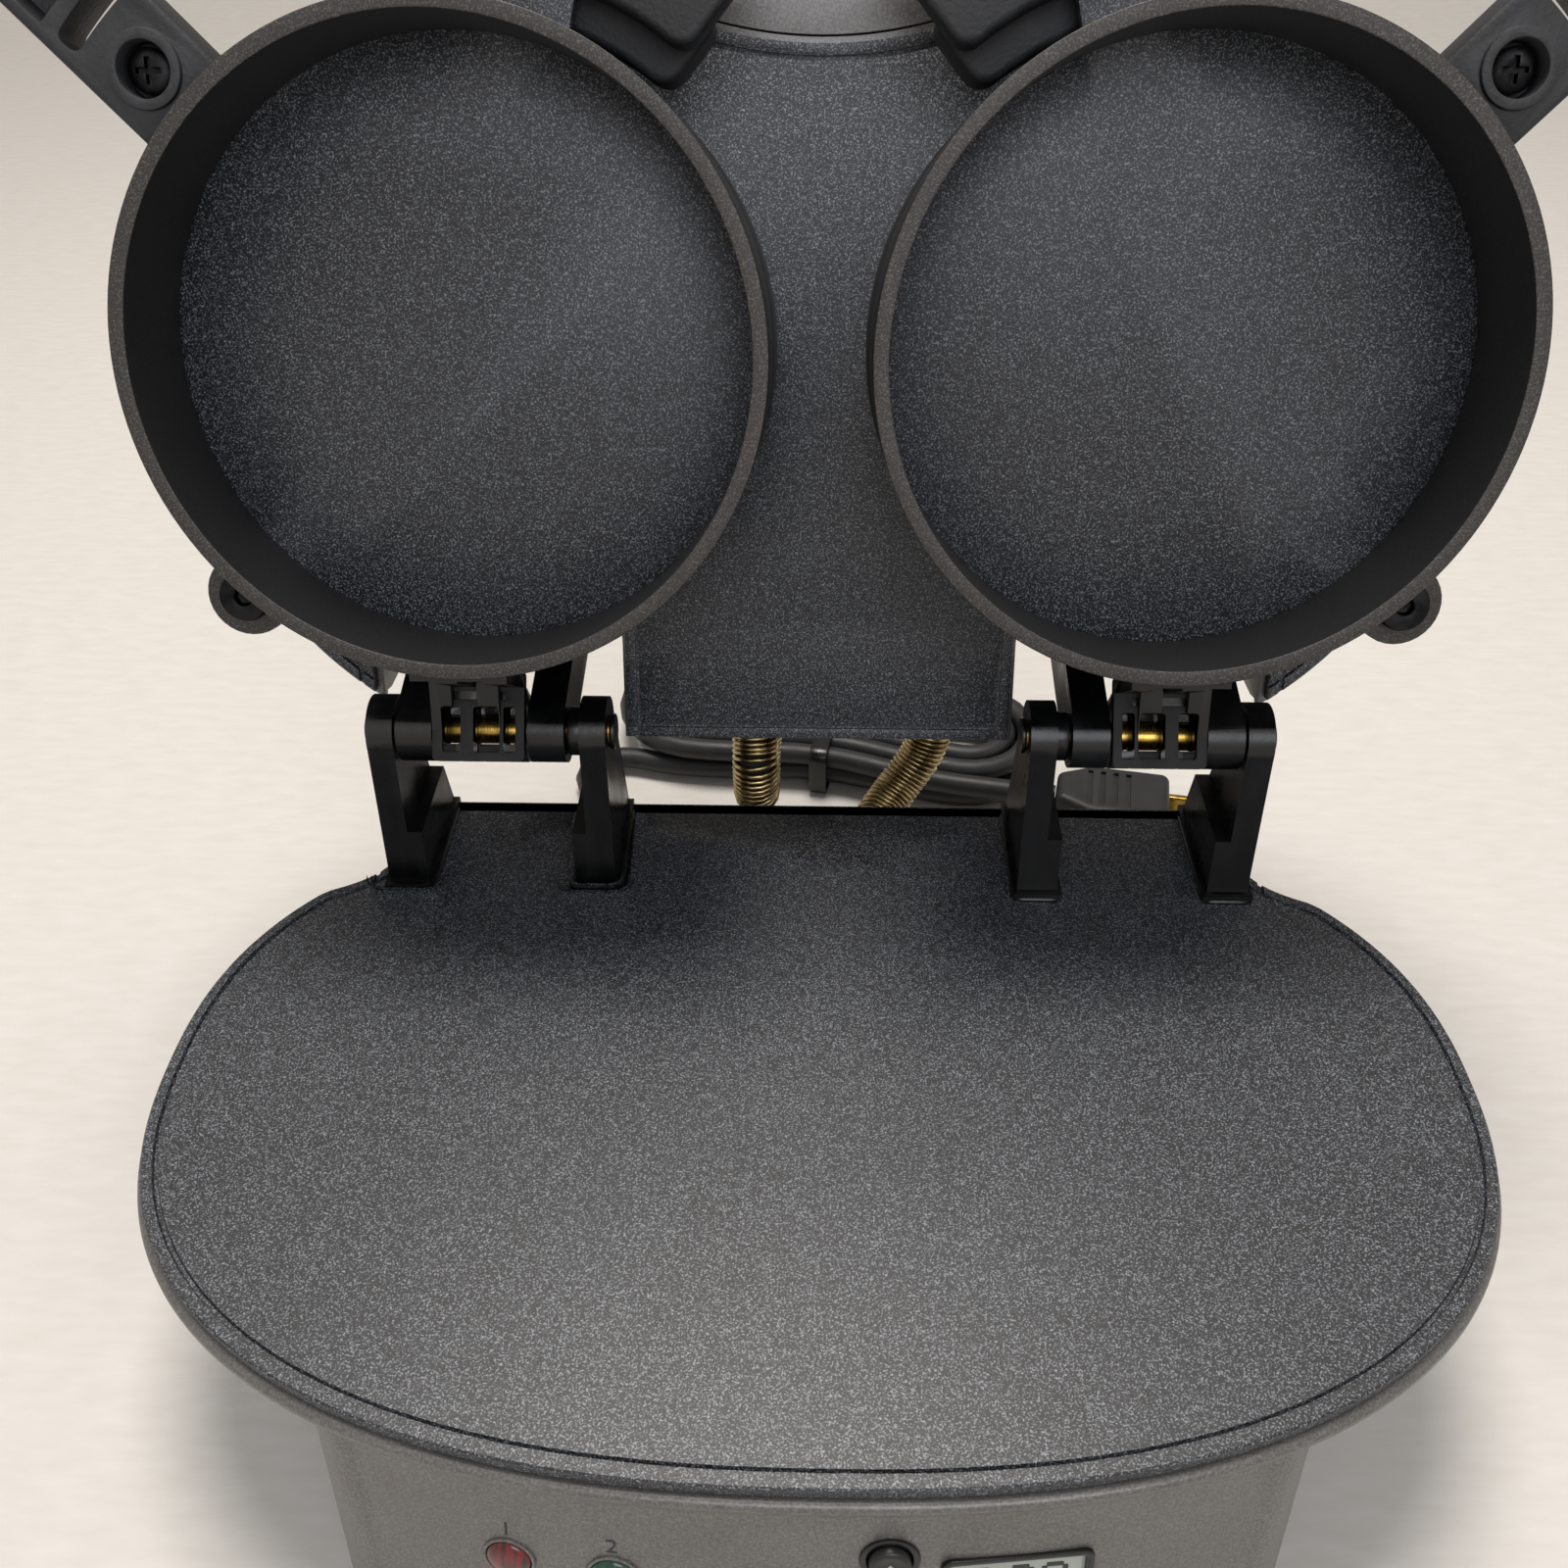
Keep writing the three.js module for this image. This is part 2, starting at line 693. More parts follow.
const coverScrews = [-1, 1].flatMap((side) => [coverScrewFrontY, coverScrewRearY].map((y) => [
  side * (pedestalHalfWidth - pedestalTaper - housingWall - screwBossRadius), y]));
const rubberFeet = [-1, 1].flatMap((side) => [rubberFootFrontY, rubberFootRearY].map((y) => [
  side * rubberFootX, y]));
const coverTop = footHeight + bottomCoverThickness;
const barBottom = lipTop - bracketBar;
const barEndX = neckEndX - trayInset;
const conduitZ = plateTop - conduitBaseDrop;

function baseHousing() {
  const loop = housingLoop();
  const skirtFoot = trayBottom + skirtTaper;
  const outer = joined([
    loft([
      { loop: grown(loop, -skirtTaper), z: trayBottom },
      { loop: grown(loop, skirtReach), z: skirtFoot },
      { loop: grown(loop, skirtReach), z: panelTop },
    ]),
    slab(grown(loop, lipReach), panelTop, lipTop),
    loft([
      { loop: pedestalLoop(footHeight), z: footHeight },
      { loop: pedestalLoop(panelTop), z: panelTop },
    ]),
  ]);
  const inner = joined([
    loft([
      { loop: grown(loop, -skirtTaper - housingWall), z: trayBottom + housingWall },
      { loop: grown(loop, skirtReach - housingWall), z: skirtFoot + housingWall },
      { loop: grown(loop, skirtReach - housingWall), z: lipTop + cutOverrun },
    ]),
    loft([
      { loop: grown(pedestalLoop(footHeight - cutOverrun), -housingWall), z: footHeight - cutOverrun },
      { loop: grown(pedestalLoop(panelTop), -housingWall), z: panelTop },
    ]),
  ]);
  const bosses = coverScrews.map(([x, y]) => column(
    screwBossRadius, x + Math.sign(x) * bossSink, y, coverTop + seatGap, coverTop + screwBossHeight));
  const pegs = boardPegs.map(([x, y]) => onPanel(
    column(boardPegRadius, x, y, -boardSetback + seatGap, 0), 0, boardDrop));
  const ledges = [-1, 1].map((side) => block(
    side < 0 ? -barEndX : innerPostFace, side < 0 ? -innerPostFace : barEndX,
    ledgeFrontY, housingRear, trayBottom, barBottom - seatGap));
  const screwHoles = coverScrews.map(([x, y]) => column(
    coverScrewRadius + seatGap, x, y, footHeight, coverTop + coverScrewLength));
  const conduitHole = axleY(glandNeck + seatGap, conduitX, conduitZ,
    pedestalRear - housingWall - cutOverrun, pedestalRear + cutOverrun);
  const reliefHole = axleY(reliefNeck + seatGap, cordExitX, cordExitZ,
    pedestalRear - housingWall - cutOverrun, pedestalRear + cutOverrun);
  const supports = joined([...bosses, ...pegs, ...ledges]).intersect(outer);
  return outer.subtract(inner).add(supports)
    .subtract(joined([...screwHoles, panelHoles(), conduitHole, reliefHole]));
}

// A cylinder along Y
function axleY(radius, x, z, y0, y1, sides = roundSides) {
  const round = new THREE.CylinderGeometry(radius, radius, y1 - y0, sides);
  return solid(round.translate(x, (y0 + y1) / 2, z));
}

function bottomCover() {
  const plate = slab(grown(pedestalLoop(footHeight), -bottomCoverInset), footHeight, coverTop);
  const holes = coverScrews.map(([x, y]) => column(
    coverScrewRadius + seatGap, x, y, footHeight - cutOverrun, coverTop + cutOverrun));
  return plate.subtract(joined(holes));
}

function coverScrew([x, y]) {
  const top = footHeight - seatGap;
  return joined([
    column(coverScrewHeadRadius, x, y, top - coverScrewHead, top, screwSides),
    column(coverScrewRadius, x, y, top - coverScrewHead / 2, footHeight + coverScrewLength, screwSides),
  ]);
}

const rubberFoot = ([x, y]) => column(rubberFootRadius, x, y, 0, footHeight - seatGap);

// The groove that runs just inside a cooking plate's edge
function grooveCut(outline, z0, z1) {
  return outline(-grooveInset, z0, z1).subtract(
    outline(-grooveInset - grooveWidth, z0 - cutOverrun, z1 + cutOverrun));
}

function lowerPlate() {
  const flange = plateSlab(0, plateTop - plateFlange, plateTop);
  const body = plateSlab(-plateBodyInset, plateTop - plateBody, plateTop - plateFlange / 2)
    .subtract(block(-lobeHalfWidth, lobeHalfWidth, notchFront - notchGap, housingRear,
      plateTop - plateBody - cutOverrun, plateTop - plateFlange));
  return flange.add(body).subtract(grooveCut(plateSlab, plateTop - grooveDepth, plateTop + cutOverrun));
}

function hingeBracket() {
  const footZ = plateTop - plateFlange;
  const rear = housingRear - lipReach - trayInset;
  const stepZ = plateTop + footStepRise;
  const feet = [[innerPostFace, innerPostFace + footWidth], [outerPostFace - footWidth, outerPostFace]];
  const heads = [innerPostX, outerPostX];
  const outline = [[postFrontFoot, footZ], [postRearFoot, footZ]];
  const posts = heads.flatMap((x, i) => {
    const [x0, x1] = feet[i];
    const wide = hubWeb(postHeadRadius, outline, x0, x1)
      .intersect(block(x0, x1, notchFront, housingRear, footZ, stepZ));
    const flange = block(x0 - flangeMargin, x1 + flangeMargin, postFrontFoot - flangeMargin,
      postRearFoot, footZ, plateTop + flangeRise);
    const core = block(x0, Math.min(x1, barEndX), postFrontFoot, rear, barBottom, footZ + flangeRise);
    return [wide, flange, core, hubWeb(postHeadRadius, outline, x - postWidth / 2, x + postWidth / 2)];
  });
  const bar = block(innerPostFace, barEndX, postFrontFoot, rear, barBottom, lipTop);
  return joined([...posts, bar]).subtract(axle(
    pinRadius + pinClearance, innerPostFace - cutOverrun, outerPostFace + cutOverrun, 0, axisZ));
}

function hingePin() {
  const [left, right] = [innerPostFace - seatGap, outerPostFace + seatGap];
  return joined([
    axle(pinRadius, left - pinHeadLength / 2, right + pinHeadLength / 2, 0, axisZ),
    axle(pinHeadRadius, left - pinHeadLength, left, 0, axisZ),
    axle(pinHeadRadius, right, right + pinHeadLength, 0, axisZ),
  ]);
}

// Heating element: a rod bent into a loop, with two terminals; up is -1 where they point down
function heatingElement(z, up) {
  const corner = (x, y) => [
    new THREE.Vector3(x, y, z), new THREE.Vector3(Math.sign(x) * elementCorner, elementCorner, 0)];
  const path = new THREE.CurvePath();
  const stops = [
    new THREE.Vector3(-elementLeadX, elementRear, z),
    corner(-elementHalfWidth, elementRear), corner(-elementHalfWidth, elementFront),
    corner(elementHalfWidth, elementFront), corner(elementHalfWidth, elementRear),
    new THREE.Vector3(elementLeadX, elementRear, z),
  ];
  let from = stops[0];
  for (let i = 1; i < stops.length - 1; i++) {
    const here = stops[i][0];
    const last = Array.isArray(stops[i - 1]) ? stops[i - 1][0] : stops[i - 1];
    const next = Array.isArray(stops[i + 1]) ? stops[i + 1][0] : stops[i + 1];
    const enter = here.clone().add(last.clone().sub(here).setLength(elementCorner));
    const leave = here.clone().add(next.clone().sub(here).setLength(elementCorner));
    path.add(new THREE.LineCurve3(from, enter));
    path.add(new THREE.QuadraticBezierCurve3(enter, here, leave));
    from = leave;
  }
  path.add(new THREE.LineCurve3(from, stops[stops.length - 1]));
  const ends = [-1, 1].map((side) => column(
    elementRadius / 2, side * (elementLeadX + elementRadius), elementRear,
    Math.min(z, z + up * elementLeadRise), Math.max(z, z + up * elementLeadRise), elementSides));
  return joined([tube(path, elementRadius, elementSides, elementSteps), ...ends]);
}

// Domed body of the cover; inset and drop make the hollow inside it
function coverDome(inset, drop) {
  return loft([
    { loop: domeLoop(inset - lipReach), z: coverLip - cutOverrun - drop },
    { loop: domeLoop(inset + shoulderReach), z: coverCrown - crownInset - drop },
    { loop: domeLoop(inset + crownInset), z: coverCrown - drop },
    { loop: domeLoop(inset + topInset), z: coverCrown + crownRise - drop },
  ]);
}

const coverPortZ = upperFace + coverPortRise;
const coverBack = coverRear + skirtReach;
const handleFoot = upperFace + plateFlange;
const handleTop = handleFoot + coverHandleHeight;

function coverHousing() {
  const top = coverCrown + crownRise + cutOverrun;
  const body = coverSlab(skirtReach, coverLip, top).intersect(coverDome(0, 0));
  const lip = coverSlab(lipReach, coverLip, coverLip + lipHeight);
  const hollow = coverSlab(skirtReach - housingWall, coverLip - cutOverrun, top)
    .intersect(coverDome(housingWall, housingWall))
    .subtract(frontBite(housingWall - lipReach, coverLip - cutOverrun * 2, handleTop + housingWall));
  const portHole = axleY(glandNeck + seatGap, coverPortX, coverPortZ,
    coverBack - housingWall * 2, coverBack + cutOverrun);
  return body.add(lip).subtract(hollow).subtract(portHole)
    .subtract(frontBite(-lipReach, coverLip - cutOverrun, handleTop + seatGap));
}

function upperPlate() {
  const flange = coverSlab(0, upperFace, upperFace + plateFlange);
  const body = coverSlab(-plateBodyInset, upperFace + plateFlange / 2, upperFace + plateBody)
    .subtract(frontBite(plateBodyInset, upperFace - cutOverrun, upperFace + plateBody + cutOverrun));
  return flange.add(body)
    .subtract(grooveCut(coverSlab, upperFace - cutOverrun, upperFace + grooveDepth))
    .subtract(frontBite(0, upperFace - cutOverrun, upperFace + plateFlange + cutOverrun));
}

function coverHandle() {
  const front = frontY(0) - coverHandleReach;
  const w = coverHandleHalfWidth;
  const rear = frontCutY;
  const grip = slab([[-w, rear], [-w, frontY(0)], [-w * handleTipShare, front],
    [w * handleTipShare, front], [w, frontY(0)], [w, rear]].map(([x, y]) => new THREE.Vector2(x, y)),
  handleFoot, handleTop).intersect(frontBite(-lipReach - seatGap, handleFoot, handleTop));
  const scoop = slab([[-w + coverHandleRim, frontY(0) - coverHandleRim],
    [-w * handleTipShare + coverHandleRim, front + coverHandleRim],
    [w * handleTipShare - coverHandleRim, front + coverHandleRim],
    [w - coverHandleRim, frontY(0) - coverHandleRim]].map(([x, y]) => new THREE.Vector2(x, y)),
  handleFoot - cutOverrun, handleFoot + handleScoopDepth);
  return grip.subtract(scoop);
}

function coverArm() {
  const face = coverNotchFront + lipReach + seatGap;
  const [low, high] = [coverLip + seatGap, coverLip + armHeight];
  const x0 = knuckleStart;
  const x1 = outerKnuckleStart + knuckleWidth;
  const web = (start) => hubWeb(knuckleRadius, [[face, low], [face, high],
    [face + armMountThickness, high]], start, start + knuckleWidth);
  return joined([
    web(knuckleStart), web(outerKnuckleStart),
    block(x0, x1, face, face + armMountThickness, low, high),
  ]).subtract(axle(pinRadius + pinClearance, x0 - cutOverrun, x1 + cutOverrun, 0, axisZ));
}

// Hooks that hang a ring on the hinge pin; their open mouths let it lift off
function ringHooks(first, low, high) {
  const plate = block(hooksStart, hooksEnd, bracketPlateFront, bracketPlateRear, low, high)
    .subtract(ringColumn(ringOuter + seatGap, low - cutOverrun, high + cutOverrun));
  const reach = bracketPlateRear - hookRoot;
  const fingers = [first, first + 2].map((slot) => {
    const x = hooksStart + slot * hookPitch;
    return hubWeb(hookRadius, [[reach, low], [reach, high]], x, x + hookWidth);
  });
  const hole = pinRadius + pinClearance;
  const mouth = sideSlab([
    [0, axisZ - hole], [hookRadius * 2, axisZ - hole + hookRadius * 2 * Math.tan(hookTilt)],
    [hookRadius * 2, axisZ + hole + hookRadius * 2 * Math.tan(hookTilt)], [0, axisZ + hole],
  ], hooksStart - cutOverrun, hooksEnd + cutOverrun);
  const bore = axle(hole, hooksStart - cutOverrun, hooksEnd + cutOverrun, 0, axisZ);
  return joined([plate, ...fingers]).subtract(bore).subtract(mouth);
}

function ringBody(low, high) {
  return solid(shapeOf(lathed([[ringInner, low], [ringOuter, low], [ringOuter, high],
    [ringInner, high], [ringInner, low]], ringSides)).rotateX(Math.PI / 2)
    .translate(ringX, -ringReach, 0));
}

function pivotLug(low, high) {
  return radialBar(pivotAngle, earRadius * 2, ringInner + ringWall / 2, pivotReach, low, high)
    .add(radialColumn(pivotAngle, earRadius, pivotReach, low, high));
}

const pivotHole = () => radialColumn(pivotAngle, pivotPinRadius + seatGap, pivotReach, 0, upperFace);
const sideLugZ = ringBase + sideHandleLift + sideHandleHeight + seatGap;

function bottomRing() {
  const lug = radialBar(-sideHandleAngle, sideLugWidth, ringInner + ringWall / 2, handleScrewReach,
    sideLugZ, sideLugZ + sideLugHeight)
    .add(radialColumn(-sideHandleAngle, sideLugWidth / 2, handleScrewReach,
      sideLugZ, sideLugZ + sideLugHeight));
  const screwHole = radialColumn(-sideHandleAngle, handleScrewRadius + seatGap, handleScrewReach,
    sideLugZ - cutOverrun, sideLugZ + sideLugHeight + cutOverrun);
  return joined([ringBody(ringBase, ringTop), pivotLug(ringTop - pivotLugHeight, ringTop), lug])
    .subtract(pivotHole()).subtract(screwHole);
}

function bottomRingHandle() {
  const low = ringBase + sideHandleLift;
  const high = low + sideHandleHeight;
  const tip = sideHandleTip - sideHandleWidth / 2;
  const trayFrom = sideSlotReach + sideSlotWidth + sideHandleWall;
  const trayWidth = sideHandleWidth - 2 * sideHandleWall;
  const angle = -sideHandleAngle;
  const grip = radialBar(angle, sideHandleWidth, ringInner, tip, low, high)
    .add(radialColumn(angle, sideHandleWidth / 2, tip, low, high))
    .subtract(ringColumn(ringOuter + seatGap, low - cutOverrun, high + cutOverrun));
  const trayTop = high - sideHandleFloor;
  const tray = radialBar(angle, trayWidth, trayFrom, tip, low - cutOverrun, trayTop)
    .add(radialColumn(angle, trayWidth / 2, tip, low - cutOverrun, trayTop));
  const spread = (trayWidth / 2) / sideSlotReach;
  const slot = arcBlock(sideSlotReach, sideSlotReach + sideSlotWidth, angle - spread, angle + spread,
    low - cutOverrun, high + cutOverrun);
  const screwHole = radialColumn(angle, handleScrewRadius + seatGap, handleScrewReach,
    low - cutOverrun, high + cutOverrun);
  const bore = radialColumn(angle, counterboreRadius, handleScrewReach, low - cutOverrun,
    low + counterboreDepth);
  return grip.subtract(tray).subtract(slot).subtract(screwHole).subtract(bore);
}

function handleScrew() {
  const head = ringBase + sideHandleLift + counterboreDepth - seatGap;
  return joined([
    radialColumn(-sideHandleAngle, handleScrewHeadRadius, handleScrewReach, head - handleScrewHead, head),
    radialColumn(-sideHandleAngle, handleScrewRadius, handleScrewReach, head - handleScrewHead / 2,
      sideLugZ + sideLugHeight),
  ]);
}

const frontFrom = -Math.PI / 2 - frontHandleTo;
const frontTo = -Math.PI / 2 - frontHandleFrom;
const frontMiddle = (frontFrom + frontTo) / 2;
const eggHandleBase = eggBase - eggHandleDrop;
const topHandleBase = eggHandleBase + eggHandleHeight + 2 * seatGap;
const topLugBase = topHandleBase + (topHandleHeight - topLugHeight) / 2;

function eggPlate() {
  const tongue = radialBar(frontMiddle, eggTongueWidth, 0, eggTongueReach, eggBase, eggTop);
  const ear = radialBar(pivotAngle, earRadius * 2, 0, pivotReach, eggBase, eggTop)
    .add(radialColumn(pivotAngle, earRadius, pivotReach, eggBase, eggTop));
  return joined([ringColumn(eggPlateRadius, eggBase, eggTop), tongue, ear]).subtract(pivotHole());
}

function eggPlateHandle() {
  const slot = radialBar(frontMiddle, eggTongueWidth + 2 * seatGap, 0, eggTongueReach + seatGap,
    eggBase - seatGap, eggTop + seatGap);
  return arcBlock(eggHandleInner, eggHandleOuter, frontFrom, frontTo, eggHandleBase,
    eggHandleBase + eggHandleHeight).subtract(slot);
}

function topRing() {
  const lug = radialBar(frontMiddle, topLugWidth, ringInner + ringWall / 2, topLugReach,
    topLugBase, topLugBase + topLugHeight);
  return joined([
    ringBody(topRingBase, topRingTop), pivotLug(topRingBase, topRingBase + pivotLugHeight), lug,
  ]).subtract(pivotHole());
}

function topRingHandle() {
  const slot = radialBar(frontMiddle, topLugWidth + 2 * seatGap, 0, topLugReach + seatGap,
    topLugBase - seatGap, topLugBase + topLugHeight + seatGap);
  return arcBlock(topHandleInner, topHandleOuter, frontFrom, frontTo, topHandleBase,
    topHandleBase + topHandleHeight).subtract(slot);
}

function pivotPin() {
  const head = ringTop - pivotLugHeight - seatGap;
  return joined([
    radialColumn(pivotAngle, pivotHeadRadius, pivotReach, head - pivotHeadHeight, head),
    radialColumn(pivotAngle, pivotPinRadius, pivotReach, head - pivotHeadHeight / 2,
      topRingBase + pivotLugHeight),
  ]);
}

// A collar that a conduit's end seats on, with its neck through the wall, drawn along +Y from it
function gland(x, wallY, z) {
  const collar = axleY(glandRadius, x, z, wallY + seatGap, wallY + seatGap + glandLength);
  const neck = axleY(glandNeck, x, z, wallY - housingWall - seatGap, wallY + glandLength);
  return collar.add(neck).subtract(axleY(portRadius, x, z, wallY - glandLength * 2,
    wallY + glandLength * 2));
}

// Where a closed-position place beside the hinge lies once the cover is open
function opened(y, z) {
  const turn = new THREE.Vector2(y, z - axisZ).rotateAround(new THREE.Vector2(), -openAngle);
  return [turn.x, turn.y + axisZ];
}

// The conduit's line, from the base's gland to the cover's, straight where it leaves each
function conduitCurve(from) {
  const baseY = pedestalRear + seatGap + glandLength;
  const coverY = coverBack + seatGap + glandLength;
  const straightShares = [-from, 0.5, 1];
  const start = straightShares.map((share) => [conduitX, baseY + share * 2 * springRadius, conduitZ]);
  const end = straightShares.map((share) => [
    coverPortX, ...opened(coverY + share * 2 * springRadius, coverPortZ)]).reverse();
  const points = [...start, ...conduitRoute, ...end].map((p) => new THREE.Vector3(...p));
  return new THREE.CatmullRomCurve3(points, false, 'centripetal');
}

// A wire wound round the conduit's line as one unbroken tube
function wound() {
  const curve = conduitCurve(-springStartShare);
  const count = springTurns * stepsPerTurn;
  const frames = curve.computeFrenetFrames(count, false);
  const line = [];
  for (let i = 0; i <= count; i++) {
    const turn = (2 * Math.PI * i) / stepsPerTurn;
    line.push(curve.getPointAt(i / count)
      .addScaledVector(frames.normals[i], springRadius * Math.cos(turn))
      .addScaledVector(frames.binormals[i], springRadius * Math.sin(turn)));
  }
  reportGap('flexible_conduit', line, springWire, stepsPerTurn);
  return swept(line, springWire / 2, springSides);
}

// A tube through points that are close together, closed at both ends
function swept(line, radius, sides) {
  const places = [];
  const corners = [];
  let normal = new THREE.Vector3();
  line.forEach((point, i) => {
    const ahead = line[Math.min(i + 1, line.length - 1)].clone();
    const tangent = ahead.sub(line[Math.max(i - 1, 0)]).normalize();
    if (i === 0) normal.set(tangent.y, tangent.z, tangent.x);
    normal = normal.clone().addScaledVector(tangent, -normal.dot(tangent)).normalize();
    const other = tangent.clone().cross(normal);
    for (let k = 0; k < sides; k++) {
      const turn = (2 * Math.PI * k) / sides;
      const corner = point.clone().addScaledVector(normal, radius * Math.cos(turn));
      places.push(...corner.addScaledVector(other, radius * Math.sin(turn)).toArray());
      const next = (k + 1) % sides;
      const [a, b] = [i * sides + k, i * sides + next];
      if (i > 0) corners.push(a - sides, b - sides, b, a - sides, b, a);
    }
  });
  const last = (line.length - 1) * sides;
  for (let k = 1; k < sides - 1; k++) {
    corners.push(0, k + 1, k, last, last + k, last + k + 1);
  }
  const geometry = new THREE.BufferGeometry();
  geometry.setAttribute('position', new THREE.Float32BufferAttribute(places, 3));
  geometry.setIndex(corners);
  return solid(geometry);
}

// Prints the least gap that a wound tube keeps to itself
function reportGap(name, line, thickness, apart) {
  let least = Infinity;
  for (let i = 0; i < line.length; i++) {
    for (let k = i + Math.ceil(apart / 2); k < line.length; k++) {
      least = Math.min(least, line[i].distanceTo(line[k]));
    }
  }
  console.log(`${name}: least gap to itself ${(least - thickness).toFixed(2)} mm`);
}

// The cord's hank: loops spiral in on the table, climb a layer and spiral out again
const hankLift = tieThickness + seatGap;
const hankLayer = 2 * cordRadius + (hankPitch - 2 * cordRadius);
const hankTurns = hankLoops / 2;
const hankFrame = new THREE.Matrix4().makeRotationZ(hankTurn).setPosition(hankX, hankY, hankLift + cordRadius);
const waistAt = (x) => hankBend * (1 - (1 - hankWaistShare) * Math.cos((Math.PI * x) / hankRun) ** 2);

function hankPoint(share) {
  const spread = Math.abs(hankTurns - share) * hankPitch;
  const climb = THREE.MathUtils.smoothstep(share, hankTurns - 1 / 4, hankTurns + 1 / 4) * hankLayer;
  const bend = hankBend + spread;
  const lap = share - Math.floor(share);
  const quarter = Math.floor(lap * 4);
  const part = lap * 4 - quarter;
  const side = quarter < 2 ? -1 : 1;
  if (quarter % 2 === 0) {
    const x = -side * (part - 1 / 2) * hankRun;
    return new THREE.Vector3(x, side * (waistAt(x) + spread), climb);
  }
  const turn = side * Math.PI / 2 + part * Math.PI;
  const middle = -side * hankRun / 2;
  return new THREE.Vector3(middle + bend * Math.cos(turn), bend * Math.sin(turn), climb);
}

function hankLine() {
  const line = [];
  for (let i = 0; i <= hankLoops * hankSteps + hankSteps / 4; i++) {
    line.push(hankPoint(i / hankSteps));
  }
  const last = line[line.length - 1];
  line.push(new THREE.Vector3(last.x + hankTail, last.y, last.z));
  return line.map((p) => p.applyMatrix4(hankFrame));
}

function cordHank() {
  const line = hankLine();
  reportGap('cord_hank', line, 2 * cordRadius, hankSteps);
  return swept(line, cordRadius, hankSides);
}

function cordTie() {
  const far = waistAt(0) + (hankTurns + 1 / 4) * hankPitch + cordRadius + seatGap;
  const low = -cordRadius - seatGap;
  const high = hankLayer + cordRadius + seatGap;
  const ring = sideSlab([[-far - tieThickness, low - tieThickness], [far + tieThickness, low - tieThickness],
    [far + tieThickness, high + tieThickness], [-far - tieThickness, high + tieThickness]],
  -tieWidth / 2, tieWidth / 2).subtract(sideSlab([[-far, low], [far, low], [far, high], [-far, high]],
    -tieWidth, tieWidth));
  return solid(shapeOf(ring).applyMatrix4(hankFrame));
}

function plug() {
  const x = hankRun / 2 + hankTail + seatGap;
  const y = -waistAt(hankRun / 2) - (hankTurns + 1 / 4) * hankPitch;
  const low = -cordRadius - hankLift;
  const blade = (side) => block(x + plugLength - cutOverrun, x + plugLength + bladeLength,
    y + side * bladeSpacing / 2 - bladeThickness / 2, y + side * bladeSpacing / 2 + bladeThickness / 2,
    low + (plugHeight - bladeWidth) / 2, low + (plugHeight + bladeWidth) / 2);
  const body = block(x, x + plugLength, y - plugWidth / 2, y + plugWidth / 2, low, low + plugHeight);
  return solid(shapeOf(joined([body, blade(-1), blade(1)])).applyMatrix4(hankFrame));
}

function powerCord() {
  const meet = hankPoint(0).applyMatrix4(hankFrame);
  const heading = new THREE.Vector3(Math.cos(hankTurn), Math.sin(hankTurn), 0);
  const back = [2 * cordRadius, seatGap].map((reach) => meet.clone().addScaledVector(heading, -reach));
  const startY = pedestalRear + reliefLength + 2 * seatGap;
  const start = [0, 2 * cordRadius].map((reach) => new THREE.Vector3(cordExitX, startY + reach, cordExitZ));
  const points = [...start, ...cordRoute.map((p) => new THREE.Vector3(...p)), ...back];
  return tube(new THREE.CatmullRomCurve3(points, false, 'centripetal'), cordRadius, cordSides, cordSteps);
}

function strainRelief() {
  const [wall, end] = [pedestalRear + seatGap, pedestalRear + seatGap + reliefLength];
  return joined([
    axleY(reliefRadius, cordExitX, cordExitZ, wall, end),
    axleY(reliefNeck, cordExitX, cordExitZ, wall - housingWall * 2, wall + seatGap),
  ]);
}

// Colours and finishes
const finish = (color, roughness, metalness) => new THREE.MeshStandardMaterial({ color, roughness, metalness });
const silverPaint = finish('#8d8b88', 0.45, 0.3);
const darkCoating = finish('#2b3038', 0.6, 0.2);
const blackPlastic = finish('#15171a', 0.35, 0);
const ringPlastic = finish('#24272c', 0.55, 0);
const brass = finish('#a58b4a', 0.35, 1);
const steel = finish('#9a978f', 0.35, 1);
const rubber = finish('#1a1a1a', 0.85, 0);
const redLens = finish('#8f1418', 0.2, 0);
const greenLens = finish('#0f6b58', 0.2, 0);
const boardGreen = finish('#2c5a36', 0.6, 0);

const maker = new THREE.Group();
const base = new THREE.Group();
const cover = new THREE.Group();
const coverPieces = new THREE.Group();
maker.add(base, cover);
cover.add(coverPieces);
cover.position.z = axisZ;
cover.rotation.x = -openAngle;
coverPieces.position.z = -axisZ;

function place(group, name, body, material, side = 1) {
  const mesh = new THREE.Mesh(shapeOf(body, side), material);
  mesh.name = name;
  group.add(mesh);
}

place(base, 'base_housing', baseHousing(), silverPaint);
place(base, 'bottom_cover', bottomCover(), blackPlastic);
const corners = ['front_left', 'rear_left', 'front_right', 'rear_right'];
corners.forEach((corner, i) => {
  place(base, `rubber_foot_${corner}`, rubberFoot(rubberFeet[i]), rubber);
  place(base, `cover_screw_${corner}`, coverScrew(coverScrews[i]), steel);
});
place(base, 'lower_heating_plate', lowerPlate(), darkCoating);
place(base, 'lower_heating_element',
  heatingElement(plateTop - plateBody - seatGap - elementRadius, -1), steel);
place(base, 'lower_thermostat', column(thermostatRadius, 0, thermostatY,
  plateTop - plateBody - seatGap - thermostatHeight, plateTop - plateBody - seatGap), steel);
place(base, 'control_board', controlBoard(), boardGreen);
place(base, 'display_module', displayModule(), blackPlastic);
place(base, 'display_window', displayWindow(), blackPlastic);
const lens = panelPlug(lensRadius, lensFlangeRadius, lensRise, lensDepth);
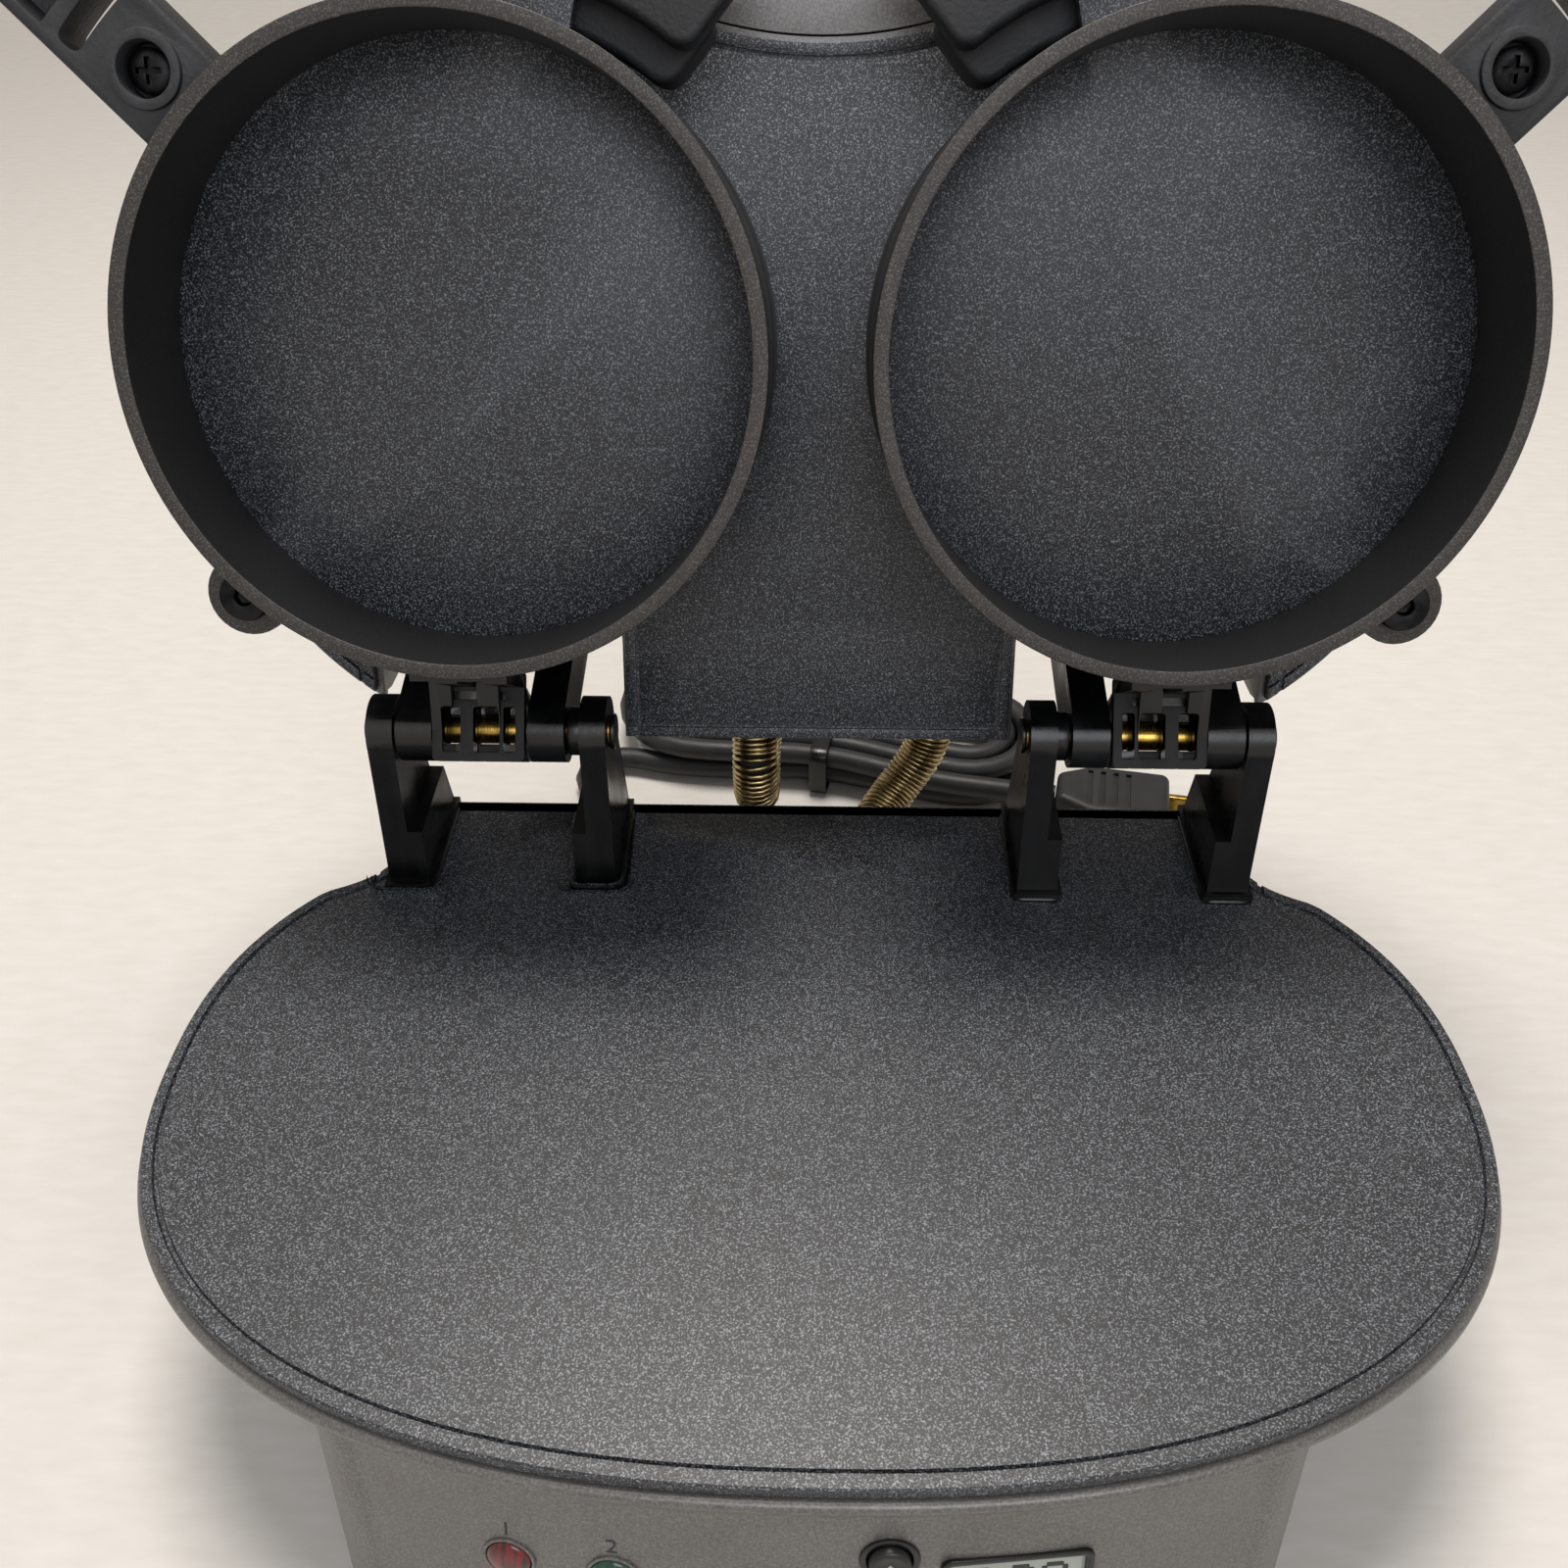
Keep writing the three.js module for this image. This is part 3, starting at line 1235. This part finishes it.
place(base, 'power_lens', onPanel(lens, redLensX, panelRowDrop), redLens);
place(base, 'preheat_lens', onPanel(lens, greenLensX, panelRowDrop), greenLens);
const button = panelPlug(buttonRadius, buttonFlangeRadius, buttonRise, plugFlange);
place(base, 'timer_button_upper', onPanel(button, buttonX, buttonRows[0]), blackPlastic);
place(base, 'timer_button_lower', onPanel(button, buttonX, buttonRows[1]), blackPlastic);
place(base, 'conduit_gland_base', gland(conduitX, pedestalRear, conduitZ), blackPlastic);
place(base, 'strain_relief', strainRelief(), rubber);

place(coverPieces, 'cover_housing', coverHousing(), silverPaint);
place(coverPieces, 'upper_heating_plate', upperPlate(), darkCoating);
place(coverPieces, 'upper_heating_element',
  heatingElement(upperFace + plateBody + seatGap + elementRadius, 1), steel);
place(coverPieces, 'upper_thermostat', column(thermostatRadius, 0, thermostatY,
  upperFace + plateBody + seatGap, upperFace + plateBody + seatGap + thermostatHeight), steel);
place(coverPieces, 'cover_handle', coverHandle(), ringPlastic);
place(coverPieces, 'conduit_gland_cover', gland(coverPortX, coverBack, coverPortZ), blackPlastic);

for (const [side, end] of [[1, 'right'], [-1, 'left']]) {
  place(base, `hinge_bracket_${end}`, hingeBracket(), blackPlastic, side);
  place(base, `hinge_pin_${end}`, hingePin(), brass, side);
  place(coverPieces, `cover_hinge_arm_${end}`, coverArm(), blackPlastic, side);
  place(coverPieces, `bottom_ring_${end}`, bottomRing(), ringPlastic, side);
  place(coverPieces, `bottom_ring_hooks_${end}`,
    ringHooks(0, ringBase + hookMargin, ringTop - hookMargin), blackPlastic, side);
  place(coverPieces, `bottom_ring_handle_${end}`, bottomRingHandle(), ringPlastic, side);
  place(coverPieces, `handle_screw_${end}`, handleScrew(), steel, side);
  place(coverPieces, `top_ring_${end}`, topRing(), ringPlastic, side);
  place(coverPieces, `top_ring_hooks_${end}`,
    ringHooks(1, topRingBase + hookMargin, topRingTop - hookMargin), blackPlastic, side);
  place(coverPieces, `top_ring_handle_${end}`, topRingHandle(), ringPlastic, side);
  place(coverPieces, `egg_plate_${end}`, eggPlate(), darkCoating, side);
  place(coverPieces, `egg_plate_handle_${end}`, eggPlateHandle(), ringPlastic, side);
  place(coverPieces, `egg_plate_pivot_${end}`, pivotPin(), steel, side);
}

place(base, 'flexible_conduit', wound(), steel);
place(base, 'conduit_lead', tube(conduitCurve(leadStartShare), leadRadius, leadSides, leadSteps), rubber);
const cordNames = ['power_cord', 'cord_hank', 'cord_tie', 'plug'];
place(base, cordNames[0], powerCord(), rubber);
place(base, cordNames[1], cordHank(), rubber);
place(base, cordNames[2], cordTie(), blackPlastic);
place(base, cordNames[3], plug(), rubber);

// The origin is under the middle of the object without its cord, on the table
maker.updateMatrixWorld(true);
const span = new THREE.Box3();
maker.traverse((node) => {
  if (node.isMesh && !cordNames.includes(node.name)) span.expandByObject(node, true);
});
const middle = span.getCenter(new THREE.Vector3());
maker.position.set(-middle.x, -middle.y, -span.min.z);

export default maker;
